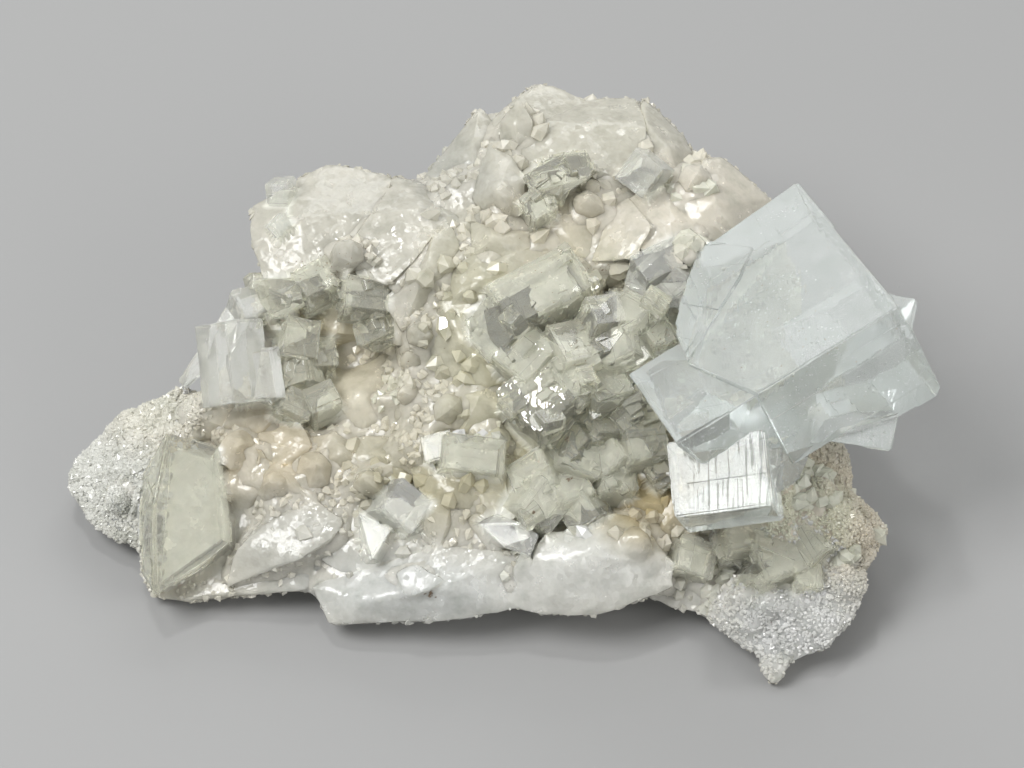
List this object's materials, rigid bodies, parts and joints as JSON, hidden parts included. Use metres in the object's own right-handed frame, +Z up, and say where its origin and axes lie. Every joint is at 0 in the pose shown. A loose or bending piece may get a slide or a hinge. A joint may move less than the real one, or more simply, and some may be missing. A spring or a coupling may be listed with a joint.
{
  "type": "fluorite specimen",
  "caption": "Mineral specimen: pale blue and green fluorite cubes grown on a crust of milky quartz crystals, with a flat cut base.",
  "frame": {"origin": "bottom centre of the bounding box, on the flat cut that the specimen rests on", "axes": "+X along the longest extent, to the right of someone facing the crystal face; +Y away from them; +Z up; the crystal face slopes up towards +Y at 50 degrees"},
  "size_m": [0.1088, 0.0785, 0.0432],
  "materials": {
    "quartz_milky": "milky quartz, satin crystal faces with sugary patches",
    "fluorite_blue": "clear to cloudy pale blue fluorite, glossy striated faces",
    "fluorite_green": "clear to cloudy pale yellow-green fluorite, glossy faces",
    "fluorite_clear": "colourless fluorite, glossy faces"
  },
  "bodies": {
    "root": {"quartz_matrix": "quartz_milky", "fluorite_main_cluster": "fluorite_blue", "fluorite_center_cluster": "fluorite_green", "fluorite_left_cube": "fluorite_clear", "fluorite_perched_cube_upper": "fluorite_clear", "fluorite_perched_cube_lower": "fluorite_clear", "fluorite_crown_cube": "fluorite_clear", "fluorite_crown_cluster": "fluorite_green", "fluorite_glass_cluster": "fluorite_clear", "fluorite_hollow_cubes": "fluorite_green", "fluorite_hollow_row": "fluorite_green", "fluorite_green_crystal": "fluorite_green", "fluorite_yellow_crystal": "fluorite_green", "fluorite_front_cube": "fluorite_clear", "fluorite_striped_crystal": "fluorite_clear", "fluorite_bright_crystal": "fluorite_clear", "fluorite_low_cube": "fluorite_green", "fluorite_lobe_cluster": "fluorite_green"}
  },
  "joints": []
}
